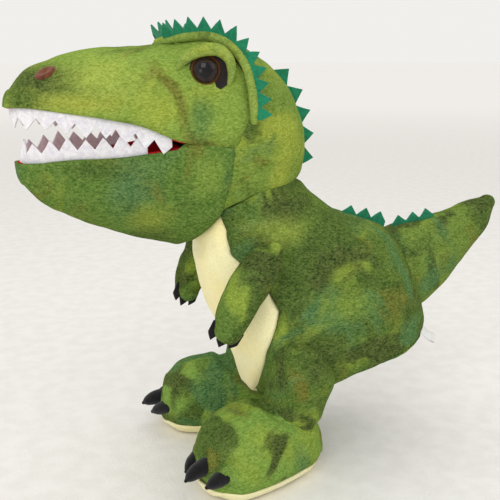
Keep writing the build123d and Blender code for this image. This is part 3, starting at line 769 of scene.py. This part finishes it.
def blade(foot, along, out, width, base, height, curve):
    """Outline of one felt claw: a list of points in its own plane."""
    half = along * width / 2

    def flank(sign, k):
        return foot + sign * half * (1 - k) + out * (base + (height - base) * k) + along * curve * k * k

    return [foot - half, foot + half, foot + half + out * base, flank(1, 0.35), flank(1, 0.7),
            foot + out * height + along * curve, flank(-1, 0.7), flank(-1, 0.35), foot - half + out * base]


def felt_piece(name, outlines, material, thickness=1.3):
    """Flat cut felt: outlines given a thickness, with their edges softened."""
    build = bmesh.new()
    for outline in outlines:
        corners = [build.verts.new(tuple(p)) for p in metres(outline)]
        build.faces.new(corners)
    bmesh.ops.remove_doubles(build, verts=build.verts, dist=0.00015)
    bmesh.ops.recalc_face_normals(build, faces=build.faces)
    mesh = bpy.data.meshes.new(name)
    build.to_mesh(mesh)
    build.free()
    made = bpy.data.objects.new(name, mesh)
    bpy.context.scene.collection.objects.link(made)
    solid = made.modifiers.new("felt", "SOLIDIFY")
    solid.thickness, solid.offset = thickness / 1000, 0
    soft = made.modifiers.new("edges", "BEVEL")
    soft.width, soft.segments, soft.limit_method = 0.00025, 2, "ANGLE"
    applied(made)
    points = per_vertex(made.data, "co")
    mm = points * 1000
    wobble = np.stack([waves(mm, 7, 71 + k) for k in range(3)], axis=1) * 0.28 / 1000
    made.data.vertices.foreach_set("co", (points + wobble).ravel())
    made.data.materials.append(material)
    return made


FOOT = [(-51, 21, 20, 22, 2.3), (-44, 29, 24, 28.5, 2.3), (-26, 36.5, 27, 33.2, 2.3), (-8, 37, 27, 33.2, 2.3),
        (10, 33.5, 27, 31, 2.3), (30, 25, 23.5, 26, 2.3), (38, 18, 18, 20, 2.3)]
LEG = [(24.6, 96, -12, 17, 17, 18, 2.1), (24.6, 84, -12, 24.6, 24.6, 24.8, 2.1),
       (20, 62, -12, 23.4, 23.4, 23.8, 2.1), (15, 44, -12, 21.8, 21.8, 22.6, 2.1),
       (12, 30, -12, 20, 20, 21, 2.1)]


def placed_foot(grid):
    """Foot coordinates to the left foot's place and splay."""
    splay = np.radians(17)
    x, y, z = np.moveaxis(grid, -1, 0)
    return np.stack([-4 + x * np.cos(splay) - y * np.sin(splay),
                     -47 + x * np.sin(splay) + y * np.cos(splay), z], axis=-1)


def foot_grid(low, columns):
    """The foot above the sole's seam, or the sole below it."""
    rows = smooth(FOOT, 52, 1)
    x, up, down, half, power = (c[:, None] for c in rows.T)
    split = np.arcsin(np.clip(12.5 / down, 0, 1) ** (power / 2))
    v = np.linspace(0, 1, columns)[None, :]
    turns = -split - (np.pi - 2 * split) * v if low else -split + (np.pi + 2 * split) * v
    rise = power_of(np.sin(turns), power)
    z = 23 + np.where(rise > 0, up, down) * rise
    grid = np.stack([x + 0 * z, half * power_of(np.cos(turns), power), z], axis=-1)
    grid = end_cap(end_cap(grid, 5.5, True), 5.5, False)
    grid[..., 2] = np.maximum(grid[..., 2], 0.9)
    return placed_foot(grid)


def end_cap(grid, bulge, start):
    """Rows that close a foot's toe or heel towards its own seam height."""
    last, sign = (grid[0], -1) if start else (grid[-1], 1)
    middle = np.array([last[0, 0], 0, 10.5])
    rows = np.array([middle + (last - middle) * np.cos(phi) + np.array([sign * bulge * np.sin(phi), 0, 0])
                     for phi in quarter_turn(DOME_ROWS)])
    return np.concatenate([rows[::-1], grid]) if start else np.concatenate([grid, rows])


def leg_pieces():
    leg = loop_points(smooth(LEG, 40), full_turns(64))
    leg = rounded(leg, 9, start=True)
    leg[..., 1] -= 46
    skin, sole = foot_grid(False, 76), foot_grid(True, 30)
    t = np.linspace(0, 2 * np.pi, 40)
    ankle = np.stack([14 + 24.5 * np.cos(t), -46 + 24.8 * np.sin(t), 52 - 6 * np.cos(t)], axis=-1)
    for side in SIDES:
        body = f"{side}_leg"
        made = plush(f"{side}_leg_plush", sided(leg, side), M["body"], True, seed=61, lump=1.0,
                     creases=[(sided(ankle - (0, 0, 8), side), 1.6, 4)])
        finished(made, body, "plush_green", f"{side}_leg_skin", f"{side}_leg_filling", fill=0.9)
        made = plush(f"{side}_foot_plush", sided(skin, side), M["feet"], False, seed=65, lump=1.0,
                     seams=[sided(line, side) for line in (skin[:, 0], skin[:, -1], skin[2:38, 38])],
                     creases=[(sided(ankle, side), 2.2, 3.5)])
        finished(made, body, "plush_green", f"{side}_foot_skin", fill=0.9)
        made = plush(f"{side}_sole_plush", sided(sole, side), M["belly"], False, seed=67,
                     lump=0.25, depth=0.7)
        finished(made, body, "plush_cream", f"{side}_foot_sole", fill=0.9)
        claws = []
        for spot, aim in ((-19, 16), (0, 0), (19, -16)):
            start = np.array([-52 + abs(spot) * 0.42, spot, 26 - abs(spot) * 0.1])
            out = np.array([-np.cos(np.radians(aim)), np.sin(np.radians(aim)), -0.08])
            path = [start + out * s + np.array([0, 0, -0.012 * s * s]) for s in (-4, 2, 8, 13.5, 18, 20)]
            claws.append(sided(placed_foot(sausage(path, [5.6, 6.4, 6.2, 5.2, 3.3, 1.6], 18)), side))
        made = many_grids(f"{side}_claws_toe", claws, M["black"], 0.25)
        finished(made, body, "felt_black", f"{side}_toe_claws", fill=1.0)


# ---------------------------------------------------------------- mouth
def ribbon(line, pitch, start, out_at, base, height_at, buried, count=None):
    """Outlines of a strip of triangles along a line. Neighbours share their corners."""
    line = np.asarray(line, float)
    knots = lengths_along(line)
    if count is None:
        count = round((knots[-1] - start) / pitch)
        pitch = (knots[-1] - start) / count

    def at(distance):
        here, ahead = (np.array([np.interp(q, knots, line[:, k]) for k in range(3)])
                       for q in (distance - 1, distance + 1))
        return (here + ahead) / 2, out_at((here + ahead) / 2, unit(ahead - here))

    outlines = []
    for n in range(count):
        (a, out_a), (m, out_m), (b, out_b) = (at(start + (n + k) * pitch) for k in (0, 0.5, 1))
        low_a, low_b, tip = a + out_a * base, b + out_b * base, m + out_m * height_at(n)
        outlines.append([a - out_a * buried, b - out_b * buried, low_b, low_b + (tip - low_b) * 0.5, tip,
                         low_a + (tip - low_a) * 0.5, low_a])
    return outlines


def lip_line(rows, inset, x_from):
    """The left lip from the mouth's corner to the middle of the muzzle's tip."""
    xs = np.linspace(x_from, rows[0][0], 40)
    numbers = table_at(rows, xs)
    line = [(x, -(half - inset), z) for x, (z, _, half, _) in zip(xs, numbers)]
    z, _, half, _ = numbers[-1]
    for phi in np.linspace(0.15, np.pi / 2, 7):
        line.append((rows[0][0] - (TIP_BULGE - inset) * np.sin(phi), -(half - inset) * np.cos(phi), z))
    return np.array(line)


def teeth_pieces():
    sets = [("upper", FACE, 3.2, -70, -1, 12.4, 5.5, 13.5, "head"),
            ("lower", JAW, 3.0, -85, 1, 11.8, 6.5, 14.5, "jaw")]
    for name, rows, inset, corner, way, pitch, base, height, body in sets:
        line = lip_line(rows, inset, corner)

        def out_at(foot, along):
            side = unit(np.cross(along, (0, 0, 1)))
            outer = side if side[1] - 0.5 * side[0] < 0 or side[0] < -0.7 else -side
            return np.array([0, 0, way]) + outer * (0.10 if way < 0 else 0.2)

        outlines = ribbon(line, pitch, 0, out_at, base, lambda n: height * (0.92 + 0.06 * ((n * 5) % 3)), 2.2)
        for side in SIDES:
            teeth = [sided(np.array(o), side) for o in outlines]
            made = felt_piece(f"{name}_{side}_teeth_felt", teeth, M["white"], 1.4)
            finished(made, body, "felt_white", f"{name}_{side}_teeth")


def palate_pieces():
    margin, dome_share = 3.4, 1.03
    for name, rows, arch, body, under, node, flat in (
            ("palate_upper", FACE, 5.0, "head", "face_plush", "upper_palate", (0.088, 0.115)),
            ("palate_lower", JAW, -4.0, "jaw", "jaw_plush", "lower_palate", (0.084, 0.11))):
        xs = np.linspace(-58, rows[0][0] - 3, 52)
        numbers = table_at(rows, np.maximum(xs, rows[0][0]))
        v = np.linspace(-1, 1, 44)
        grid = []
        for x, (z, _, half, _) in zip(xs, numbers):
            tip = np.sqrt(np.clip(1 - max(0, rows[0][0] + 6 - x) ** 2 / 90, 0.02, 1))
            y = v * (half - margin) * tip
            fold = 0.5 * np.sin(x / 5.2 + v * 2.2) * (1 - v * v)
            dome = arch * (1 - v ** 4) * min(1, (x - xs[-1]) / 20) * min(1, (-54 - x) / 14 + 0.3)
            grid.append(np.stack([x + 0 * v, y, z + dome + fold + (0.4 if arch > 0 else -0.4)], axis=-1))
        made = plush(name, np.array(grid), M["red"], False, seed=81, lump=0.3, thickness=1.0)
        finished(made, body, "lining", node)


# ---------------------------------------------------------------- eyes and crest
EYE = np.array([-47, -44, 301.0])
EYE_OUT = unit(np.array([-0.29, -0.957, 0.02]))


def eye_pieces():
    base = EYE + EYE_OUT * 1.5
    side_way = unit(np.cross(EYE_OUT, (0, 0, 1)))
    rise = np.cross(side_way, EYE_OUT)
    radius = (10 ** 2 + 7 ** 2) / 14
    profile = [(0, -3.2), (5, -3.2), (9.2, -3.0), (9.9, -1.5), (10.0, -0.2)]
    top = np.arcsin(10 / radius)
    profile += [(radius * np.sin(a), radius * np.cos(a) - radius + 7) for a in np.linspace(top, 0.0, 16)]
    for side in SIDES:
        flip = 1 if side == "left" else -1
        grid = np.array([[(r * np.cos(t) / 1000, r * np.sin(t) / 1000, h / 1000) for t in full_turns(48)[0]]
                         for r, h in profile])
        faces = grid_faces(len(profile), 48, True)
        made = mesh_object(f"{side}_eye_dome", grid.reshape(-1, 3), faces, 0.00001)
        axes = [way * (1, flip, 1) for way in (side_way, rise, EYE_OUT)] + [metres(base * (1, flip, 1))]
        made.matrix_world = Matrix([[float(a[k]) for a in axes] for k in range(3)] + [[0, 0, 0, 1]])
        if flip < 0:
            made.data.flip_normals()
        made.data.materials.append(M["eye"])
        finished(made, "head", "eye", f"{side}_eye")
        turns = full_turns(64)[0]
        patch = []
        for r, h, shift in ((9.4, -1.5, 0), (9.7, 1.2, 0), (12.0, 1.5, 1.9), (13.4, 0.9, 3.4),
                            (14.0, -1.2, 3.4), (13.0, -2.5, 3.4), (9.4, -1.5, 0)):
            middle = base - side_way * shift - rise * shift * 0.2 - EYE_OUT * 1.2
            patch.append([middle + side_way * r * np.cos(t) * 1.03 + rise * r * np.sin(t) * 0.98 + EYE_OUT * h
                          for t in turns])
        lid = [base + EYE_OUT * h + side_way * a + rise * b for a, b, h in (
            (19, 0, -1.5), (14, 6, 0.8), (7, 10.6, 2.4), (-2, 13, 3.0), (-10, 12, 2.2), (-15.5, 6.5, 1.2),
            (-17, -2, 0.4), (-15.5, -9, -1.0))]
        lid = sausage(lid, [1.6, 3.2, 4.0, 4.3, 4.2, 3.6, 2.9, 1.6], 18)
        for what, grid, look, seed, lump, slot, node, fill in (
                ("eye_felt", np.array(patch), "patch", 85, 0.12, "felt_dark", "eye_patch", None),
                ("lid_roll", lid, "pale", 87, 0.3, "plush_pale", "eyelid", 0.9),
                ("nostril_felt", nostril_grid(), "brown", 89, 0.1, "felt_brown", "nostril", None)):
            made = plush(f"{side}_{what}", sided(grid, side), M[look], seed=seed, lump=lump, thickness=0)
            finished(made, "head", slot, f"{side}_{node}", fill=fill)


def nostril_grid():
    """A leaf of brown felt let into the snout, a little hollow in its middle."""
    middle = np.array([-147, -16, 301.0])
    z0, up, half, power = table_at(FACE, middle[:1])[0]
    turn = np.arccos(np.clip(-middle[1] / half, 0, 1) ** (power / 2))
    middle[2] = z0 + up * np.sin(turn) ** (2 / power)
    out = unit(np.array([-0.42, -0.48, 0.77]))
    long_way = np.array([0.86, -0.10, 0.41])
    long_way = unit(long_way - out * (long_way @ out))
    wide = np.cross(out, long_way)
    rows = []
    for scale, height in ((1.0, -1.6), (1.0, 0.3), (0.9, 0.9), (0.6, 0.7), (0.3, -0.1), (0.02, -0.5)):
        rows.append([middle + long_way * 7.2 * scale * np.cos(t)
                     + wide * 4.4 * scale * power_of(np.sin(t), 1.8) + out * height
                     for t in full_turns(40)[0]])
    return np.array(rows)


BROW = np.array([(-66, -11, 319.6), (-53, -24.5, 322.4), (-41, -34.5, 322.4), (-33, -40, 319.5),
                 (-26.5, -45, 313.5), (-21, -50.3, 303.5), (-18.5, -54.3, 291), (-17.5, -56.6, 278),
                 (-17.5, -56.8, 268)])


def spine_line(name, line, pitch, start, base, height, out_of, node, body, count=None, mirror=False):
    """Felt spines along a line, as one strip, or as one strip on each side."""
    outlines = ribbon(line, pitch, start, out_of, base,
                      lambda n: height * (0.96 + 0.04 * (n % 3)), 3.0, count)
    for side in SIDES if mirror else SIDES[:1]:
        label = f"{side}_{name}" if mirror else name
        made = felt_piece(label, [sided(np.array(o), side) for o in outlines], M["teal"], 1.5)
        finished(made, body, "felt_teal", f"{side}_{node}" if mirror else node)


def crest_pieces():
    roll = sausage(BROW, [2.2, 3.2, 3.4, 3.4, 3.4, 3.4, 3.4, 3.2, 2.2], 16)
    for side in SIDES:
        made = plush(f"{side}_brow_plush", sided(roll, side), M["pale"], True, seed=91, lump=0.3,
                     thickness=0)
        finished(made, "head", "plush_green", f"{side}_brow_roll", fill=0.9)

    def from_brow(foot, along):
        out = (foot - (-45, 0, 288)) * (1, 0.5, 1)
        return unit(out - along * (out @ along))

    def upright(foot, along):
        out = np.array([-along[2], 0, along[0]])
        return unit(out if out[2] + 0.4 * out[0] > 0 else -out)

    def backward(foot, along):
        out = np.array([-along[2], 0, along[0]])
        return out * np.sign(out[0])

    ridge = smooth(BROW, 60, 3)
    along = np.gradient(ridge, axis=0)
    along /= np.linalg.norm(along, axis=1)[:, None]
    ridge = ridge + np.array([from_brow(p, t) for p, t in zip(ridge, along)]) * 2.6
    spine_line("brow_spines_felt", ridge, 9.4, 0, 2.4, 10.6, from_brow, "brow_spines", "head", mirror=True)
    back = np.array([(row[0], 0, row[1]) for row in smooth(CROWN[5:11], 60)])
    spine_line("neck_spines_felt", back, 16.5, 2, 3.5, 13.5, backward, "neck_spines", "head")
    rump = np.array([(76, 0, 188.5), (96, 0, 183.4), (117, 0, 177.2)])
    spine_line("back_spines_felt", rump, 13.0, 1, 2.0, 8.6, upright, "back_spines", "torso")
    top = np.array([(x + np.cos(np.radians(a)) * up, 0, z + np.sin(np.radians(a)) * up)
                    for x, z, a, up, *_ in smooth(TAIL, 60)])
    spine_line("tail_spines_felt", top, 13.0, 12, 1.5, 8.0, upright, "tail_spines", "tail", count=3)


def label_piece():
    turn, half_width = np.radians(36), 7.0
    out = CUFF_BACK * np.cos(turn) - SIDEWAYS * np.sin(turn)
    across = np.cross(CUFF_UP, out)
    root = OPENING + out * 43.6
    profile = [(0.2, 0.4), (1.2, -4), (3.4, -8.6), (6.6, -12.2), (9.2, -14.2), (9.4, -14.9), (8.7, -14.9),
               (6.0, -12.8), (2.8, -9.2), (0.6, -4.2), (-0.2, 0.2)]
    grid = np.array([[root + out * (h + 0.35 * np.sin(v * 3.1) * (-d / 15)) + CUFF_UP * d
                      + across * half_width * v for v in np.linspace(-1, 1, 16)] for h, d in profile])
    grid = np.stack([smooth(grid[:, k], 40, 3) for k in range(grid.shape[1])], axis=1)
    made = plush("care_label_cloth", grid, M["label"], False, seed=95, lump=0.0, thickness=0.35)
    finished(made, "torso", "satin_white", "care_label")


# ---------------------------------------------------------------- studio
def studio():
    world = bpy.context.scene.world or bpy.data.worlds.new("world")
    bpy.context.scene.world = world
    world.use_nodes = True
    background = world.node_tree.nodes["Background"]
    background.inputs["Color"].default_value = (1.0, 0.985, 0.96, 1)
    background.inputs["Strength"].default_value = 0.88
    rows = np.linspace(-30, 30, 9)
    floor = mesh_object("floor", [(x, y, 0) for x in rows for y in rows], grid_faces(9, 9, False))
    if floor.data.polygons[0].normal.z < 0:
        floor.data.flip_normals()
    surface = Surface("floor_cloth", Roughness=0.9)
    cloud = surface.step(surface.noise(60, 4), 0.3, 0.7)
    near = surface.mix(cloud, (0.78, 0.765, 0.735, 1), (0.83, 0.815, 0.79, 1))
    reach = surface.nodes.new("ShaderNodeVectorMath")
    reach.operation = "LENGTH"
    surface.links.new(surface.place, reach.inputs[0])
    surface.paint(surface.mix(surface.step(reach.outputs["Value"], 0.8, 5.0), near, (0.99, 0.975, 0.95, 1)))
    surface.bump(surface.noise(400, 4), 0.0008, 0.5)
    floor.data.materials.append(surface.material)
    for name, spot, aim, power, width in (
            ("key", (-0.9, -1.3, 1.3), (0, 0, 0.2), 9, 1.0), ("fill", (0.9, -1.1, 0.9), (0, 0, 0.2), 2, 0.9),
            ("top", (0.1, 0.3, 1.6), (0, 0, 0.1), 3, 1.0),
            ("mouth", (-0.75, -0.55, 0.24), (-0.15, 0, 0.255), 0.7, 0.35)):
        data = bpy.data.lights.new(name, "AREA")
        data.energy, data.size = power, width
        light = bpy.data.objects.new(name, data)
        light.location = spot
        light.rotation_euler = (Vector(aim) - Vector(spot)).to_track_quat("-Z", "Y").to_euler()
        bpy.context.scene.collection.objects.link(light)
    data = bpy.data.cameras.new("camera")
    data.lens, data.sensor_width = 56.16, 36
    camera = bpy.data.objects.new("camera", data)
    camera.location = (-0.2236, -0.5471, 0.3102)
    camera.rotation_euler = Vector((0.332, 0.912, -0.242)).to_track_quat("-Z", "Y").to_euler()
    bpy.context.scene.collection.objects.link(camera)
    bpy.context.scene.camera = camera
    bpy.context.scene.view_settings.view_transform = "Standard"


studio()
face_piece()
jaw_piece()
crown_piece()
body_piece()
sleeve_pieces()
tail_piece()
arm_pieces()
leg_pieces()
teeth_pieces()
palate_pieces()
eye_pieces()
crest_pieces()
label_piece()
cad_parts["eye_washers"].data.materials.clear()
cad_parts["eye_washers"].data.materials.append(M["washer"])
